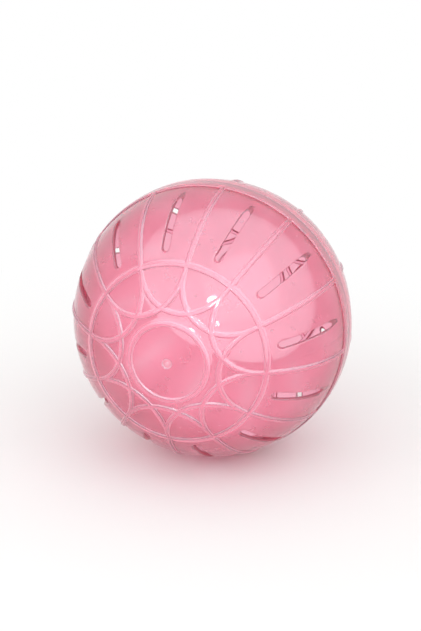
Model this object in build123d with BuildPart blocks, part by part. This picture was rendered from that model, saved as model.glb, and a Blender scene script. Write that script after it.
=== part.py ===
# Exercise ball for a small pet: two moulded half shells that meet on the plane Y = 0.
# The pole axis is Y, the front half's pole points to -Y, and +Z is up. Lengths are in millimetres.

import os
from math import radians, sin

from build123d import *

# Ball
ball_diameter = 145.0  # over the beads and the rim bands
wall = 1.8
bead_height = 0.8
bead_width = 2.0

# Bead pattern, measured in plan, which is the view along the pole axis
sectors = 12
inner_ring_diameter = 38.8
outer_ring_diameter = 90.5
arch_apex_diameter = 49.3
arch_overlap = 0.15  # how far an arch crosses the line of the rib that it runs into
pattern_turn = 5.4  # degrees from +Z to the nearest rib, as the ball lies

# Vent slots, midway between the ribs
vent_width = 3.8
vent_ring_gap = 4.3  # from the outer ring's middle line to a slot's inner end
vent_rim_gap = 3.9  # from the ball's edge to a slot's outer end, in plan

# Gate mark at each pole: a round recess with the cut sprue in it
gate_diameter = 4.4
gate_depth = 0.6
sprue_diameter = 1.6
sprue_height = 0.4

# Rim and bayonet closure: lugs on the rear half's spigot turn behind the front half's ledge
rim_band_width = 7.0
rim_chamfer = 0.4
fit_gap = 0.3
socket_wall = 1.2  # left outside the front half's groove
ledge_depth = 1.6
lug_height = 1.2
lug_depth = 2.5
lug_count = 4
lug_angle = 12.0
notch_angle = 13.5
stop_angle = 3.0
spigot_wall = 1.5
spigot_root_depth = 3.0
spigot_root_slope = 2.5  # the taper that blends the spigot's root into the wall

# Worked out from the sizes above
ball_radius = ball_diameter / 2
skin_radius = ball_radius - bead_height
inner_radius = skin_radius - wall
inner_ring_radius = inner_ring_diameter / 2
outer_ring_radius = outer_ring_diameter / 2

sector_angle = 360 / sectors
rib_angle = 90 - pattern_turn
vent_angle = rib_angle + sector_angle / 2
arch_slope = sin(radians(sector_angle))
arch_centre_radius = (arch_apex_diameter / 2 + arch_overlap) / (1 - arch_slope)
arch_radius = arch_centre_radius * arch_slope + arch_overlap

rib_length = ball_radius - outer_ring_radius
vent_start = outer_ring_radius + vent_ring_gap
vent_end = ball_radius - vent_rim_gap

groove_radius = ball_radius - socket_wall
lug_radius = groove_radius - fit_gap
spigot_radius = lug_radius - lug_height
spigot_inner_radius = spigot_radius - spigot_wall
ledge_radius = spigot_radius + fit_gap
spigot_length = ledge_depth + fit_gap + lug_depth
groove_depth = fit_gap + lug_depth + fit_gap
lock_angle = sector_angle  # a whole sector, so that the ribs line up again when it is locked
stop_turn = lock_angle + (notch_angle + stop_angle) / 2


def bead_ring(radius):
    with BuildSketch() as ring:
        Circle(radius + bead_width / 2)
        Circle(radius - bead_width / 2, mode=Mode.SUBTRACT)
    return ring.sketch


def arc_pads(depth, inner, outer, pad_angle, turn=0):
    """Sectors of a ring, one for each lug, at a depth in front of the parting plane."""
    with BuildSketch(Plane.XZ.offset(depth)) as pads:
        with BuildLine():
            for i in range(lug_count):
                middle = vent_angle + turn + i * 360 / lug_count
                CenterArc((0, 0), (inner + outer) / 2, middle - pad_angle / 2, pad_angle)
        trace(line_width=outer - inner)
    return pads.sketch


with BuildSketch(Plane.XZ) as bead_lines:
    with PolarLocations(arch_centre_radius, sectors, rib_angle):
        add(bead_ring(arch_radius))
    Circle(outer_ring_radius, mode=Mode.INTERSECT)
    add(bead_ring(inner_ring_radius))
    add(bead_ring(outer_ring_radius))
    with PolarLocations(outer_ring_radius + rib_length / 2, sectors, rib_angle):
        Rectangle(rib_length, bead_width)

with BuildSketch(Plane.XZ) as rim_disc:
    Circle(ball_radius)

with BuildSketch(Plane.XZ) as vent_slots:
    with PolarLocations((vent_start + vent_end) / 2, sectors, vent_angle):
        SlotOverall(vent_end - vent_start, vent_width)


def moulded_dome(draw):
    """One half's shell with its beads, vents and gate mark; draw is 1 towards -Y and -1 towards +Y."""
    pole = (90 * draw, 0, 0)
    extrude(bead_lines.sketch, amount=draw * ball_radius)
    extrude(rim_disc.sketch, amount=draw * rim_band_width)
    Sphere(ball_radius, rotation=pole, mode=Mode.INTERSECT)
    Sphere(skin_radius, arc_size1=0, rotation=pole, align=None)
    with Locations(Plane.XZ.offset(draw * skin_radius)):
        Cylinder(gate_diameter / 2, 2 * gate_depth, mode=Mode.SUBTRACT)
    with Locations(Plane.XZ.offset(draw * (skin_radius - gate_depth))):
        Cylinder(sprue_diameter / 2, 2 * sprue_height)
    Sphere(inner_radius, rotation=pole, mode=Mode.SUBTRACT)
    extrude(vent_slots.sketch, amount=draw * ball_radius, mode=Mode.SUBTRACT)
    rim_edge = edges().filter_by(GeomType.CIRCLE).filter_by(Plane.XZ).sort_by(SortBy.RADIUS)[-1]
    chamfer(rim_edge, rim_chamfer)


with BuildPart() as front_half:
    moulded_dome(1)
    with BuildSketch(Plane.XZ):
        Circle(ledge_radius)
    extrude(amount=ledge_depth, mode=Mode.SUBTRACT)
    with BuildSketch(Plane.XZ.offset(ledge_depth)):
        Circle(groove_radius)
    extrude(amount=groove_depth, mode=Mode.SUBTRACT)
    notches = arc_pads(0, inner_radius, groove_radius, notch_angle)
    extrude(notches, amount=ledge_depth, mode=Mode.SUBTRACT)
    stops = arc_pads(ledge_depth, ledge_radius, groove_radius + socket_wall / 2, stop_angle, stop_turn)
    extrude(stops, amount=groove_depth)
front_half.part.label = "front_half"

with BuildPart() as rear_half:
    moulded_dome(-1)
    with BuildSketch(Plane.XY):
        with BuildLine():
            Polyline(
                (spigot_inner_radius, -spigot_length),
                (spigot_radius, -spigot_length),
                (spigot_radius, 0),
                (inner_radius + wall / 2, 0),
                (inner_radius + wall / 2, spigot_root_depth + spigot_root_slope),
                (spigot_inner_radius, spigot_root_depth),
                close=True,
            )
        make_face()
    revolve(axis=Axis.Y)
    lugs = arc_pads(spigot_length - lug_depth, spigot_radius - spigot_wall / 2, lug_radius, lug_angle)
    extrude(lugs, amount=lug_depth)
rear_half.part.label = "rear_half"

os.makedirs("parts", exist_ok=True)
for half in (front_half, rear_half):
    export_step(half.part, f"parts/{half.part.label}.step")
    print(half.part.label, "volume", round(half.part.volume), "mm3")
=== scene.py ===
from math import acos, cos, log, pi, radians, sin, sqrt, tan

import bpy
from mathutils import Matrix, Vector


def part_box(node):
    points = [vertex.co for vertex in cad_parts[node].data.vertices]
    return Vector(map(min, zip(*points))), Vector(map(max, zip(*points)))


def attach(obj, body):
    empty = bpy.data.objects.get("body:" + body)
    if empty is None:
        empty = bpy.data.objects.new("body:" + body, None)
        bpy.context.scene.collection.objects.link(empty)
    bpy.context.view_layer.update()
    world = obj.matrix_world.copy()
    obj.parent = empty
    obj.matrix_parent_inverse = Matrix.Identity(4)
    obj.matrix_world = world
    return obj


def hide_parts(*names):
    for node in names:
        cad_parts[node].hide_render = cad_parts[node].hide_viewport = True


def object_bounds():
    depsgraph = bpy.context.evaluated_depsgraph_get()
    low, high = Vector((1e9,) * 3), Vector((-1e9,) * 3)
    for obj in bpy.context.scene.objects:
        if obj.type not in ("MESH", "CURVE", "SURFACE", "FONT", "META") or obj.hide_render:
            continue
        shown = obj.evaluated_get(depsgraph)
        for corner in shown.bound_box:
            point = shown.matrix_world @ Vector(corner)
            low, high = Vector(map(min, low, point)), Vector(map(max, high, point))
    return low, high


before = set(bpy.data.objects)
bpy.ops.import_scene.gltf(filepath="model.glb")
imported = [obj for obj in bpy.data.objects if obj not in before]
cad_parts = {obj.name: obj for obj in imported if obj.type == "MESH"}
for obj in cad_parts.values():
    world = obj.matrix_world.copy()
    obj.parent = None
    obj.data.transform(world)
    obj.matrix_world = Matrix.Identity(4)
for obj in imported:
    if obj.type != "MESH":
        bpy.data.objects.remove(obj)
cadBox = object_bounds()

mm = 0.001
hair = 0.001 * mm  # what counts as the same place
weld = 2 * hair  # what is merged where the half sectors meet
low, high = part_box("front_half")
ballRadius = (high.x - low.x) / 2 / mm  # over the beads and the rim bands

# Both half shells, in mm. The pattern's sizes are radii in plan, seen along the pole axis.
shell = {
    "beadHeight": 0.8,
    "beadFlat": 0.7,        # level top of a bead
    "beadRound": 0.6,       # radius of its shoulders
    "beadSlope": 42.0,      # degrees, of its sides
    "wall": 1.8,
    "sectors": 12,
    "turn": 5.4,            # degrees from +Z to the nearest rib, as the ball lies
    "innerRing": 19.4,
    "outerRing": 45.25,
    "archApex": 24.65,
    "archOverlap": 0.15,    # how far an arch crosses the line of the rib that it runs into
    "gate": 2.2,            # the round recess at the pole
    "gateDepth": 0.6,
    "gateSoft": 0.15,       # slopes at the edges of the recess and of the sprue in it
    "sprue": 0.8,
    "sprueHeight": 0.4,
    "band": 7.0,            # rim band's width
    "bandRound": 0.5,
    "bandSteps": 2,         # facets on that round
    "rimChamfer": 0.4,
    "angleStep": 1.25,      # degrees between the mesh's rows and columns
    "archStep": 2.5,        # the same, round an arch's own centre
    "spareSteps": 4,        # columns beside a half sector that are cut off again
    "crownSteps": 3,        # facets on a bead's shoulder
    "foot": 0.6,            # how deep a bead's bar is set into the wall
    "sharp": 38.0,          # degrees between faces that stay a crisp edge
}

# The vent slots
vent = {
    "width": 3.8,
    "start": 49.55,
    "rimGap": 3.9,          # from the ball's edge to a slot's outer end
    "lip": 0.45,            # small round on the slot's outer edge
    "lipCurve": (           # in lips: how far under the skin, and how much wider on each side there
        (1.0, 0.0), (0.55, 0.1), (0.2, 0.45), (0.0, 1.0),
    ),
    "through": 1.6,         # how deep the cutter goes, in walls
    "capRise": 4.0,         # how far over the skin it ends
    "capGrow": 1.0,         # and how much wider than the lip it is there
    "endSteps": 10,
    "sideSteps": 16,
}

# The bayonet at the rims
bayonet = {
    "gap": 0.3,
    "socketWall": 1.2,
    "ledge": 1.6,
    "lugHeight": 1.2,
    "lugDepth": 2.5,
    "lugAngle": 12.0,
    "lugInset": 0.03,       # how far a lug stays back from the spigot's end
    "notchAngle": 13.5,
    "stopAngle": 3.0,
    "spigotWall": 1.5,
    "spigotRoot": 3.0,
    "lugs": 4,
    "bite": 0.3,            # how far a lug or stop is set into what carries it
}

skin = ballRadius - shell["beadHeight"]
inside = skin - shell["wall"]
sectorAngle = 360 / shell["sectors"]
ribAngle = sectorAngle / 2  # a sector is modelled with its slot on the X axis
archSlope = sin(radians(sectorAngle))
archCentre = (shell["archApex"] + shell["archOverlap"]) / (1 - archSlope)
archRadius = archCentre * archSlope + shell["archOverlap"]
grooveRadius = ballRadius - bayonet["socketWall"]
lugRadius = grooveRadius - bayonet["gap"]
spigotRadius = lugRadius - bayonet["lugHeight"]
spigotInside = spigotRadius - bayonet["spigotWall"]
ledgeRadius = spigotRadius + bayonet["gap"]
spigotLength = bayonet["ledge"] + bayonet["gap"] + bayonet["lugDepth"]
grooveDepth = 2 * bayonet["gap"] + bayonet["lugDepth"]
grooveEnd = bayonet["ledge"] + grooveDepth


def pick(obj):
    if bpy.context.mode != "OBJECT":
        bpy.ops.object.mode_set(mode="OBJECT")
    bpy.ops.object.select_all(action="DESELECT")
    obj.select_set(True)
    bpy.context.view_layer.objects.active = obj


def edit(obj):
    pick(obj)
    bpy.ops.object.mode_set(mode="EDIT")
    bpy.ops.mesh.select_all(action="SELECT")


def faceOutwards():
    # turns the faces of the mesh that is being edited, and ends the editing
    bpy.ops.mesh.select_all(action="SELECT")
    bpy.ops.mesh.normals_make_consistent(inside=False)
    bpy.ops.object.mode_set(mode="OBJECT")


def outline(name, points, closed):
    # a drawn outline of edges, ready to spin
    mesh = bpy.data.meshes.new(name)
    edges = [(i, i + 1) for i in range(len(points) - 1)]
    if closed:
        edges.append((len(points) - 1, 0))
    mesh.from_pydata([Vector(p) * mm for p in points], edges, [])
    obj = bpy.data.objects.new(name, mesh)
    bpy.context.collection.objects.link(obj)
    return obj


def spinSolid(name, points, angle, step, centre, axis, closed=True):
    obj = outline(name, points, closed)
    edit(obj)
    steps = max(2, round(abs(angle) / step))
    bpy.ops.mesh.spin(steps=steps, angle=radians(angle), center=Vector(centre) * mm, axis=axis)
    if not closed:
        # both ends of an open outline are on the axis, where their copies become one point
        bpy.ops.mesh.select_all(action="SELECT")
        bpy.ops.mesh.remove_doubles(threshold=hair)
    bpy.ops.mesh.select_all(action="SELECT")
    bpy.ops.mesh.fill_holes(sides=0)
    faceOutwards()
    return obj


def turned(point, degrees):
    x, y, z = point
    c, s = cos(radians(degrees)), sin(radians(degrees))
    return (x * c - z * s, y, x * s + z * c)


def turnAboutPole(obj, degrees):
    c, s = cos(radians(degrees)), sin(radians(degrees))
    turn = Matrix(((c, 0, -s, 0), (0, 1, 0, 0), (s, 0, c, 0), (0, 0, 0, 1)))
    obj.data.transform(turn)


def drape(obj):
    # what was drawn flat, with its height as Y, is laid on the ball's skin towards the front pole
    for v in obj.data.vertices:
        x, h, z = v.co / mm
        v.co.y = -sqrt((skin + h) ** 2 - x * x - z * z) * mm
    edit(obj)
    faceOutwards()


def cut(obj, tool, how):
    pick(obj)
    mod = obj.modifiers.new("cut", "BOOLEAN")
    mod.operation = how
    mod.solver = "MANIFOLD"
    mod.object = tool
    bpy.ops.object.modifier_apply(modifier=mod.name)
    bpy.data.objects.remove(tool)


def beadCrown():
    # section of a bead: how far across, and how high over the skin, from one edge to the other
    slope, soft = radians(shell["beadSlope"]), shell["beadRound"]
    side = []
    for i in range(shell["crownSteps"] + 1):
        a = slope * i / shell["crownSteps"]
        side.append((shell["beadFlat"] / 2 + soft * sin(a), shell["beadHeight"] - soft * (1 - cos(a))))
    across, height = side[-1]
    side.append((across + height / tan(slope), 0.0))
    return [(-a, h) for a, h in reversed(side)] + side


def onBall(radius, rho):
    return (rho, -sqrt(radius * radius - rho * rho), 0)


def skinArc(radius, rhoStart, rhoEnd):
    # points along a meridian, ends included
    a, b = (acos(min(1, rho / radius)) for rho in (rhoStart, rhoEnd))
    steps = max(1, round(abs(b - a) / radians(shell["angleStep"])))
    return [onBall(radius, radius * cos(a + (b - a) * i / steps)) for i in range(steps + 1)]


def domeProfile():
    # from the front pole out to the rim, on the outside
    gate, sprue, soft = shell["gate"], shell["sprue"], shell["gateSoft"]
    floorY = skin - shell["gateDepth"]
    topY = floorY + shell["sprueHeight"]
    points = [
        (0, -topY, 0), (sprue - soft, -topY, 0), (sprue, soft - topY, 0),
        (sprue, -floorY - soft / 2, 0), (sprue + soft, -floorY, 0),
        (gate - soft, -floorY, 0), (gate, -floorY - soft, 0),
        (gate, onBall(skin, gate)[1] + soft, 0),
    ]
    start = gate + soft
    half = beadCrown()[-1][0]
    for ring in (shell["innerRing"], shell["outerRing"]):
        points += skinArc(skin, start, ring - half)
        for across, height in beadCrown()[1:-1]:
            points.append(onBall(skin + height, ring + across))
        start = ring + half
    band, soft = shell["band"], shell["bandRound"]
    points += skinArc(skin, start, sqrt(skin ** 2 - band ** 2))
    for i in range(shell["bandSteps"] + 1):
        # the band's edge is rounded over
        turn = i / shell["bandSteps"] * pi / 2
        deep = band - soft + soft * cos(turn)
        rho = sqrt(ballRadius ** 2 - deep ** 2) - soft * (1 - sin(turn))
        points.append((rho, -deep, 0))
    chamfer = shell["rimChamfer"]
    points += skinArc(ballRadius, points[-1][0], sqrt(ballRadius ** 2 - chamfer ** 2))[1:]
    points.append((ballRadius - chamfer, 0, 0))
    return points


def frontRim():
    # from the rim in over the ledge and the groove, then along the inside to the pole axis
    return [
        (ledgeRadius, 0, 0), (ledgeRadius, -bayonet["ledge"], 0),
        (grooveRadius, -bayonet["ledge"], 0), (grooveRadius, -grooveEnd, 0),
    ] + skinArc(inside, sqrt(inside ** 2 - grooveEnd ** 2), 0)


def rearRim():
    # the same for the other half, round its spigot
    root = bayonet["spigotRoot"]
    meet = root + inside - spigotInside  # where the root's taper runs into the wall
    return [
        (spigotRadius, 0, 0), (spigotRadius, spigotLength, 0),
        (spigotInside, spigotLength, 0), (spigotInside, -root, 0),
    ] + skinArc(inside, sqrt(inside ** 2 - meet ** 2), 0)


def spunWedge(name, rim):
    # a slice of the shell, a little wider than half a sector
    spare = shell["spareSteps"] * shell["angleStep"]
    points = [turned(p, -spare) for p in domeProfile() + rim]
    angle = ribAngle + 2 * spare
    return spinSolid(name, points, angle, shell["angleStep"], (0, 0, 0), (0, 1, 0), closed=False)


def barSection():
    # a bar to set into the wall: its sides run on down under the skin
    crown = beadCrown()
    deep, half = shell["foot"], crown[-1][0]
    spread = half + deep / tan(radians(shell["beadSlope"]))
    return [(-spread, -deep)] + crown[1:-1] + [(spread, -deep)]


def archBar(angle):
    # one arch, drawn flat as part of a ring round its own centre, then laid on the ball
    squares = archCentre ** 2 + archRadius ** 2 - shell["outerRing"] ** 2
    reach = acos(squares / (2 * archCentre * archRadius)) * 180 / pi  # to where it meets the outer ring
    points = []
    for across, height in barSection():
        x, y, z = turned((-(archRadius + across), height, 0), -reach)
        points.append((archCentre + x, y, z))
    obj = spinSolid("arch", points, 2 * reach, shell["archStep"], (archCentre, 0, 0), (0, 1, 0))
    drape(obj)
    turnAboutPole(obj, angle)
    return obj


def ribBar():
    # one rib, spun along its meridian from the outer ring into the rim band
    start = pi / 2 - acos(shell["outerRing"] / skin)
    end = pi / 2 - (shell["band"] - shell["bandRound"]) / skin
    points = []
    for across, height in barSection():
        r = skin + height
        points.append((r * sin(start), -r * cos(start), across))
    angle = (end - start) * 180 / pi
    obj = spinSolid("rib", points, angle, shell["angleStep"], (0, 0, 0), (0, 0, -1))
    turnAboutPole(obj, ribAngle)
    return obj


def slotLoop(height, grow):
    # a slot's stadium outline, drawn flat at a height over the skin
    r = vent["width"] / 2 + grow
    first = vent["start"] + vent["width"] / 2
    last = ballRadius - vent["rimGap"] - vent["width"] / 2
    loop = []
    for here, there, way in ((first, last, 1), (last, first, -1)):
        for i in range(vent["endSteps"] + 1):
            a = way * pi / 2 + pi * i / vent["endSteps"]
            loop.append((here + r * cos(a), height, r * sin(a)))
        for i in range(1, vent["sideSteps"]):
            loop.append((here + (there - here) * i / vent["sideSteps"], height, -way * r))
    return loop


def ventCutter():
    # a slot's outline at several heights, laid on the ball
    lip = vent["lip"]
    levels = [(-vent["through"] * shell["wall"], 0)]
    levels += [(-deep * lip, wider * lip) for deep, wider in vent["lipCurve"]]
    # the last level is so high that the flat cap over it clears the ball
    levels.append((vent["capRise"], lip + vent["capGrow"]))
    loops = [slotLoop(*level) for level in levels]
    obj = outline("vent", loops[0], True)
    edit(obj)
    for loop in loops[1:]:
        bpy.ops.mesh.extrude_edges_move()
        bpy.ops.object.mode_set(mode="OBJECT")
        fresh = [v for v in obj.data.vertices if v.select]
        for v, p in zip(fresh, loop):
            v.co = Vector(p) * mm
        bpy.ops.object.mode_set(mode="EDIT")
    bpy.ops.mesh.select_all(action="SELECT")
    bpy.ops.mesh.fill_holes(sides=0)
    bpy.ops.object.mode_set(mode="OBJECT")
    drape(obj)
    return obj


def arcPad(name, inner, outer, yStart, yEnd, middle, angle):
    # part of a ring round the pole axis: a lug, a stop or the cutter of a notch
    corners = [(inner, yStart, 0), (outer, yStart, 0), (outer, yEnd, 0), (inner, yEnd, 0)]
    points = [turned(p, middle - angle / 2) for p in corners]
    return spinSolid(name, points, angle, shell["angleStep"], (0, 0, 0), (0, 1, 0))


def notchCutter():
    bite, ledge = bayonet["bite"], bayonet["ledge"]
    return arcPad("notch", inside, grooveRadius, bite, -ledge - bite, 0, bayonet["notchAngle"])


def stopBar():
    bite, ledge = bayonet["bite"], bayonet["ledge"]
    middle = (bayonet["notchAngle"] + bayonet["stopAngle"]) / 2
    return arcPad(
        "stop", ledgeRadius, grooveRadius + bite, bite - ledge, -grooveEnd - bite,
        middle, bayonet["stopAngle"])


def lugBar():
    start, end = spigotLength - bayonet["lugDepth"], spigotLength - bayonet["lugInset"]
    return arcPad("lug", spigotRadius - bayonet["bite"], lugRadius, start, end, 0, bayonet["lugAngle"])


def halfSector(name, rim, fitting=None, how=None):
    # from the slot's middle to the rib's middle, with the bayonet's fitting where there is one
    obj = spunWedge(name, rim)
    for bar in (ribBar(), archBar(ribAngle), archBar(-ribAngle)):
        cut(obj, bar, "UNION")
    cut(obj, ventCutter(), "DIFFERENCE")
    if fitting:
        cut(obj, fitting, how)
    edit(obj)
    s, c = sin(radians(ribAngle)), cos(radians(ribAngle))
    bpy.ops.mesh.bisect(plane_co=(0, 0, 0), plane_no=(0, 0, 1), clear_inner=True, threshold=hair)
    bpy.ops.mesh.select_all(action="SELECT")
    bpy.ops.mesh.bisect(plane_co=(0, 0, 0), plane_no=(-s, 0, c), clear_outer=True, threshold=hair)
    bpy.ops.mesh.select_all(action="SELECT")
    bpy.ops.mesh.delete_loose()
    bpy.ops.mesh.select_all(action="SELECT")
    bpy.ops.mesh.dissolve_degenerate(threshold=hair)
    bpy.ops.object.mode_set(mode="OBJECT")
    return obj


def halfShell(name, plain, fitted, facing):
    # the half sectors go round the pole; fitted gives the one at a sector and side, if it isn't plain
    copies = []
    for k in range(shell["sectors"]):
        for side in (1, -1):
            source = fitted.get((k % (shell["sectors"] // bayonet["lugs"]), side), plain)
            copy = bpy.data.objects.new(name, source.data.copy())
            bpy.context.collection.objects.link(copy)
            copy.data.transform(Matrix.Diagonal((1, facing, side, 1)))
            # a quarter turn takes the X axis to +Z
            turnAboutPole(copy, 90 - shell["turn"] + ribAngle + k * sectorAngle)
            copies.append(copy)
    pick(copies[0])
    for copy in copies:
        copy.select_set(True)
    bpy.ops.object.join()
    obj = bpy.context.view_layer.objects.active
    obj.name = name
    edit(obj)
    bpy.ops.mesh.remove_doubles(threshold=weld)
    faceOutwards()
    bpy.ops.object.shade_smooth_by_angle(angle=radians(shell["sharp"]))
    print(name, len(obj.data.vertices), "vertices", len(obj.data.polygons), "faces")
    return obj


plainFront = halfSector("plainFront", frontRim())
notchedFront = halfSector("notchedFront", frontRim(), notchCutter(), "DIFFERENCE")
stoppedFront = halfSector("stoppedFront", frontRim(), stopBar(), "UNION")
frontFitted = {(0, 1): notchedFront, (0, -1): notchedFront, (1, 1): stoppedFront}
frontShell = halfShell("frontShell", plainFront, frontFitted, 1)

plainRear = halfSector("plainRear", rearRim())
luggedRear = halfSector("luggedRear", rearRim(), lugBar(), "UNION")
rearShell = halfShell("rearShell", plainRear, {(0, 1): luggedRear, (0, -1): luggedRear}, -1)

for obj in (plainFront, notchedFront, stoppedFront, plainRear, luggedRear):
    bpy.data.objects.remove(obj)

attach(frontShell, "front_half")
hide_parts("front_half")
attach(rearShell, "rear_half")
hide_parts("rear_half")


def hexColor(code):
    # sRGB hex to the linear values that the shaders take
    parts = [int(code[i:i + 2], 16) / 255 for i in (1, 3, 5)]
    return tuple(c / 12.92 if c <= 0.04045 else ((c + 0.055) / 1.055) ** 2.4 for c in parts) + (1.0,)


def addNode(tree, kind, settings=None, inputs=None, links=None):
    # one node with its settings, its fixed inputs, and its inputs that come from other nodes
    node = tree.nodes.new(kind)
    for key, value in (settings or {}).items():
        setattr(node, key, value)
    # an input goes by its number or its name, and a Mix node has several of one name, of which only
    # those of its own kind are switched on
    ports = dict(enumerate(node.inputs))
    ports.update((port.name, port) for port in reversed(node.inputs) if port.enabled)
    for key, value in (inputs or {}).items():
        ports[key].default_value = value
    for key, socket in (links or {}).items():
        tree.links.new(socket, ports[key])
    return node


def newMaterial(name):
    material = bpy.data.materials.new(name)
    material.use_nodes = True
    material.node_tree.nodes.clear()
    return material, material.node_tree


# Pink polystyrene, injection moulded, clear with a little milk in it: a glossy skin, a faint haze on
# the inside, a tint that deepens with the length of plastic that the light goes through, and beads
# whose sides and tops are painted paler and less clear, a painted highlight that makes them stand out
# as pale lines. Clear is the share of the light that goes through and isn't scattered.
polystyrene = {
    "zones": (  # outwards from the ball's centre: start and end in mm, colour, clear, roughness
        (inside - 1.0, inside + 0.1, "#FFD2DF", 0.96, 0.24),        # inner skin, hazy
        (inside + 0.3, skin - 0.2, "#F9A9BB", 0.60, 0.20),          # walls of the slots
        (skin - 0.06, skin + 0.02, "#FFD2DF", 0.96, 0.05),          # outer skin, polished
        (skin + 0.08, ballRadius - 0.20, "#FFBED2", 0.62, 0.30),    # sides of the beads, painted pale: a painted highlight along them
        (ballRadius - 0.1, ballRadius + 1.0, "#FFD0E1", 0.83, 0.08),    # tops of the beads, painted paler: a painted highlight
    ),
    "rimColor": "#FBB4C4",
    "rimClear": 0.60,
    "rimEdge": (0.4, -0.6),     # mm past the rim band's edge, where its look starts and where it is full
    # the gate's paler colour, strongest on its sprue and the edges of its recess, is a painted highlight
    "gateColor": "#FFDBE6",
    "gateClear": 0.64,
    "gateHighlights": (          # mm from the pole, and how much of the gate's painted highlight shows there
        (0.0, 1.0), (shell["sprue"], 1.0), (shell["sprue"] + 0.2, 0.35),
        (shell["gate"] - 0.5, 0.35), (shell["gate"] - 0.2, 1.0), (shell["gate"] + 0.2, 1.0),
        (shell["gate"] + 0.5, 0.0),
    ),
    "tint": "#FFE5ED",      # white light after this much plastic, by absorption alone
    "tintDepth": 1.8,       # mm
    "ior": 1.59,
    "scuffRough": 0.06,     # how much the scuffs add
    "scuffSize": 9.0,       # mm
    "scuffDetail": 6.0,
    "scuffGrain": 0.65,     # how strong the finest of them are
    "scuffRange": (0.45, 0.75),     # of the noise, from no scuff to a full one
    "rippleSize": 14.0,     # mm, the faint waves of a moulded wall
    "rippleHeight": 0.02,   # mm
    "rippleDetail": 1.0,
}


def makePolystyrene():
    p = polystyrene
    material, tree = newMaterial("pinkPolystyrene")
    place = addNode(tree, "ShaderNodeTexCoord").outputs["Object"]

    # the zones go by how far a point is from the ball's centre, the gate's painted highlight by how far
    # from its axis
    fromCentre = addNode(tree, "ShaderNodeVectorMath", {"operation": "LENGTH"}, None, {0: place})
    flat = addNode(
        tree, "ShaderNodeVectorMath", {"operation": "MULTIPLY"}, {1: (1.0, 0.0, 1.0)}, {0: place})
    fromAxis = addNode(tree, "ShaderNodeVectorMath", {"operation": "LENGTH"}, None, {0: flat.outputs[0]})
    tables = []
    for column in (2, 3, 4):
        table = [(edge, zone[column]) for zone in p["zones"] for edge in zone[:2]]
        tables.append((table, fromCentre))
    tables.append((p["gateHighlights"], fromAxis))
    ramps = []
    for table, away in tables:
        first, last = table[0][0], table[-1][0]
        along = addNode(
            tree, "ShaderNodeMapRange", None, {"From Min": first * mm, "From Max": last * mm},
            {"Value": away.outputs["Value"]})
        ramp = addNode(tree, "ShaderNodeValToRGB", None, None, {"Fac": along.outputs["Result"]})
        stops = ramp.color_ramp.elements
        while len(stops) < len(table):
            stops.new(1.0)
        for stop, (edge, value) in zip(stops, table):
            stop.position = (edge - first) / (last - first)
            stop.color = hexColor(value) if isinstance(value, str) else (value, value, value, 1.0)
        ramps.append(ramp.outputs["Color"])
    color, clear, rough, onGateHighlight = ramps

    # the rims, by how near a point is to the plane where the halves meet
    axes = addNode(tree, "ShaderNodeSeparateXYZ", None, None, {"Vector": place})
    level = addNode(tree, "ShaderNodeMath", {"operation": "ABSOLUTE"}, None, {0: axes.outputs["Y"]})
    rimStart, rimFull = (shell["band"] + edge for edge in p["rimEdge"])
    onRim = addNode(
        tree, "ShaderNodeMapRange", {"interpolation_type": "SMOOTHSTEP"},
        {"From Min": rimStart * mm, "From Max": rimFull * mm}, {"Value": level.outputs[0]})
    # the rim's own deeper colour and the gate's painted highlight go over the zones
    for share, name in ((onRim.outputs["Result"], "rim"), (onGateHighlight, "gate")):
        tinted = addNode(
            tree, "ShaderNodeMix", {"data_type": "RGBA"}, {"B": hexColor(p[name + "Color"])},
            {"Factor": share, "A": color})
        color = tinted.outputs[2]  # its colour result
        cleared = addNode(
            tree, "ShaderNodeMix", {"data_type": "FLOAT"}, {"B": p[name + "Clear"]},
            {"Factor": share, "A": clear})
        clear = cleared.outputs[0]

    scuffs = addNode(
        tree, "ShaderNodeTexNoise", None,
        {"Scale": 1 / (p["scuffSize"] * mm), "Detail": p["scuffDetail"], "Roughness": p["scuffGrain"]},
        {"Vector": place})
    unworn, worn = p["scuffRange"]
    scuffed = addNode(
        tree, "ShaderNodeMapRange", None,
        {"From Min": unworn, "From Max": worn, "To Max": p["scuffRough"]}, {"Value": scuffs.outputs["Fac"]})
    rough = addNode(
        tree, "ShaderNodeMath", {"operation": "ADD"}, None, {0: rough, 1: scuffed.outputs["Result"]})
    ripples = addNode(
        tree, "ShaderNodeTexNoise", None,
        {"Scale": 1 / (p["rippleSize"] * mm), "Detail": p["rippleDetail"]}, {"Vector": place})
    bump = addNode(
        tree, "ShaderNodeBump", None, {"Strength": 1.0, "Distance": p["rippleHeight"] * mm},
        {"Height": ripples.outputs["Fac"]})
    surface = addNode(
        tree, "ShaderNodeBsdfPrincipled", None, {"IOR": p["ior"]},
        {"Base Color": color, "Transmission Weight": clear, "Roughness": rough.outputs[0],
         "Normal": bump.outputs["Normal"]})

    # this density and colour give the tint at its depth, channel by channel
    tint = hexColor(p["tint"])
    strongest = max(-log(c) for c in tint[:3])
    absorb = tuple(1 + log(c) / strongest for c in tint[:3]) + (1.0,)
    volume = addNode(
        tree, "ShaderNodeVolumeAbsorption", None,
        {"Color": absorb, "Density": strongest / (p["tintDepth"] * mm)})
    addNode(
        tree, "ShaderNodeOutputMaterial", None, None,
        {"Surface": surface.outputs["BSDF"], "Volume": volume.outputs["Volume"]})
    return material


pinkPolystyrene = makePolystyrene()
for obj in (frontShell, rearShell):
    obj.data.materials.clear()
    obj.data.materials.append(pinkPolystyrene)
print("polystyrene on both halves")

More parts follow.
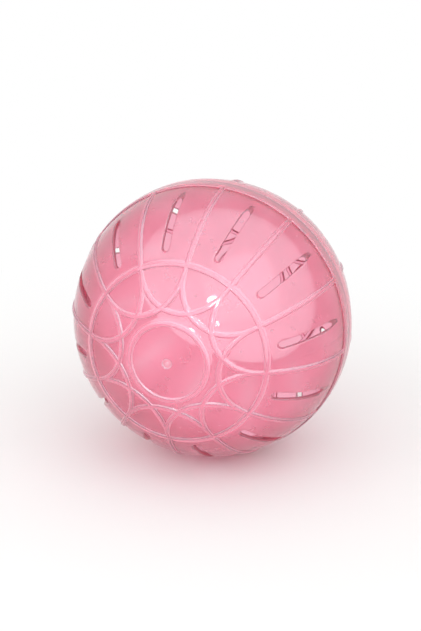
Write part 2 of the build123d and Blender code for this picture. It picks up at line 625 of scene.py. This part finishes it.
# The floor and the light, in metres and watts
studio = {
    "floorColor": "#FAF9F8",
    "floorSize": 12.0,
    "shadowReach": (0.12, 0.34),    # the paper starts to turn plain white, and is plain white beyond
    "skyColor": "#FFFFFF",
    "white": 1.0,           # the surroundings as the camera, gloss and clear plastic see them
    "fill": 0.86,           # the light that they give
    "keyPower": 9.0,
    "keySize": (2.2, 1.8),
    "keyPlace": (1.1, -1.0, 1.3),
    "frontPower": 14.0,     # a soft light from low in front, which gives no gloss
    "frontSize": (2.0, 2.0),
    "frontPlace": (-0.60, -1.30, 0.20),
    "panelPower": 2200.0,   # a broad oval panel and two spots that show in the ball's gloss alone
    "panelSize": (16.2, 16.6),
    "panelPlace": (0.476, -0.878, 0.753),
    "panelShift": (3.5, 6.0),       # to its right and upwards, in its own plane
    "panelColor": "#CFEFF8",
    "panelSpread": 167.0,   # degrees, so that the panel dims towards its edges
    "spots": (              # power, size and place
        (2.6, (0.20, 0.20), (0.308, -0.955, 0.600)),
        (0.30, (0.07, 0.07), (0.402, -1.058, 0.296)),
    ),
}


def makeFloor():
    floorZ = cadBox[0][2]  # the ball's lowest point
    bpy.ops.object.select_all(action="DESELECT")
    bpy.ops.mesh.primitive_plane_add(size=studio["floorSize"], location=(0, 0, floorZ))
    floor = bpy.context.active_object
    floor.name = "floor"
    material, tree = newMaterial("palePaper")
    paper = addNode(tree, "ShaderNodeBsdfDiffuse", None, {"Color": hexColor(studio["floorColor"])})
    glow = addNode(tree, "ShaderNodeEmission", None, {"Strength": studio["white"]})
    # for the eye only, the paper runs out into plain white beyond the ball's shadow
    place = addNode(tree, "ShaderNodeTexCoord").outputs["Object"]
    away = addNode(tree, "ShaderNodeVectorMath", {"operation": "LENGTH"}, None, {0: place})
    near, white = studio["shadowReach"]
    far = addNode(
        tree, "ShaderNodeMapRange", {"interpolation_type": "SMOOTHSTEP"},
        {"From Min": near, "From Max": white}, {"Value": away.outputs["Value"]})
    path = addNode(tree, "ShaderNodeLightPath")
    share = addNode(
        tree, "ShaderNodeMath", {"operation": "MULTIPLY"}, None,
        {0: path.outputs["Is Camera Ray"], 1: far.outputs["Result"]})
    # what shows through the plastic is white all over
    share = addNode(
        tree, "ShaderNodeMath", {"operation": "MAXIMUM"}, None,
        {0: share.outputs[0], 1: path.outputs["Is Transmission Ray"]})
    both = addNode(
        tree, "ShaderNodeMixShader", None, None,
        {0: share.outputs[0], 1: paper.outputs["BSDF"], 2: glow.outputs["Emission"]})
    # and the far paper hides neither the panel nor the white behind it from the ball's gloss
    opened = addNode(
        tree, "ShaderNodeMath", {"operation": "MULTIPLY"}, None,
        {0: path.outputs["Is Glossy Ray"], 1: far.outputs["Result"]})
    nothing = addNode(tree, "ShaderNodeBsdfTransparent")
    both = addNode(
        tree, "ShaderNodeMixShader", None, None,
        {0: opened.outputs[0], 1: both.outputs["Shader"], 2: nothing.outputs["BSDF"]})
    addNode(tree, "ShaderNodeOutputMaterial", None, None, {"Surface": both.outputs["Shader"]})
    floor.data.materials.append(material)


def makeWorld():
    world = bpy.data.worlds.new("studio")
    bpy.context.scene.world = world
    world.use_nodes = True
    tree = world.node_tree
    tree.nodes.clear()
    # white for the camera, for gloss and through the plastic, and a dimmer light on everything
    path = addNode(tree, "ShaderNodeLightPath")
    seen = addNode(
        tree, "ShaderNodeMath", {"operation": "MAXIMUM"}, None,
        {0: path.outputs["Is Camera Ray"], 1: path.outputs["Is Glossy Ray"]})
    seen = addNode(
        tree, "ShaderNodeMath", {"operation": "MAXIMUM"}, None,
        {0: seen.outputs[0], 1: path.outputs["Is Transmission Ray"]})
    strength = addNode(
        tree, "ShaderNodeMapRange", None, {"To Min": studio["fill"], "To Max": studio["white"]},
        {"Value": seen.outputs[0]})
    sky = addNode(
        tree, "ShaderNodeBackground", None, {"Color": hexColor(studio["skyColor"])},
        {"Strength": strength.outputs["Result"]})
    addNode(tree, "ShaderNodeOutputWorld", None, None, {"Surface": sky.outputs["Background"]})


def areaLight(name, shape, power, size, place):
    light = bpy.data.lights.new(name, "AREA")
    light.energy = power
    light.shape = shape
    light.size, light.size_y = size
    obj = bpy.data.objects.new(name, light)
    bpy.context.collection.objects.link(obj)
    obj.location = place
    obj.rotation_euler = (-Vector(place)).to_track_quat("-Z", "Y").to_euler()
    return obj


makeFloor()
makeWorld()
areaLight("keyBox", "RECTANGLE", studio["keyPower"], studio["keySize"], studio["keyPlace"])
front = areaLight("front", "RECTANGLE", studio["frontPower"], studio["frontSize"], studio["frontPlace"])
front.visible_glossy = False
panel = areaLight("panel", "ELLIPSE", studio["panelPower"], studio["panelSize"], studio["panelPlace"])
panel.data.color = hexColor(studio["panelColor"])[:3]
panel.data.spread = radians(studio["panelSpread"])
panel.location += panel.rotation_euler.to_matrix() @ Vector((*studio["panelShift"], 0))
spots = [areaLight("spot", "DISK", *spot) for spot in studio["spots"]]
for light in [panel] + spots:
    light.visible_camera = False
    light.visible_diffuse = False
    light.visible_transmission = False
print("floor and lights")

# The photograph's view, fitted to the ball's rings, ribs and slots
photo = {
    "frame": (421, 631),
    "ballPixel": (212.40, 317.70),
    "focalPixels": 1480.0,
    "distance": 0.767,      # metres from the lens to the ball's centre, along the view
    "azimuth": 17.43,       # degrees, as the next two
    "elevation": 19.07,
    "roll": 0.96,
    "sensor": 36.0,         # mm
    "clip": (0.01, 50.0),   # metres, nearest and farthest that shows
}


def makeCamera():
    width, height = photo["frame"]
    camera = bpy.data.cameras.new("camera")
    camera.sensor_width = photo["sensor"]
    camera.lens = photo["focalPixels"] / max(width, height) * photo["sensor"]
    camera.clip_start, camera.clip_end = photo["clip"]
    turn = (
        Matrix.Rotation(radians(photo["azimuth"]), 4, "Z")
        @ Matrix.Rotation(radians(90 - photo["elevation"]), 4, "X")
        @ Matrix.Rotation(radians(photo["roll"]), 4, "Z"))
    # the ball's centre, seen from the lens
    scale = photo["distance"] / photo["focalPixels"]
    right = (photo["ballPixel"][0] - width / 2) * scale
    down = (photo["ballPixel"][1] - height / 2) * scale
    obj = bpy.data.objects.new("camera", camera)
    bpy.context.collection.objects.link(obj)
    obj.matrix_world = Matrix.Translation(turn @ Vector((-right, down, photo["distance"]))) @ turn
    bpy.context.scene.camera = obj


makeCamera()
bpy.context.scene.view_settings.view_transform = "Standard"
print("camera")
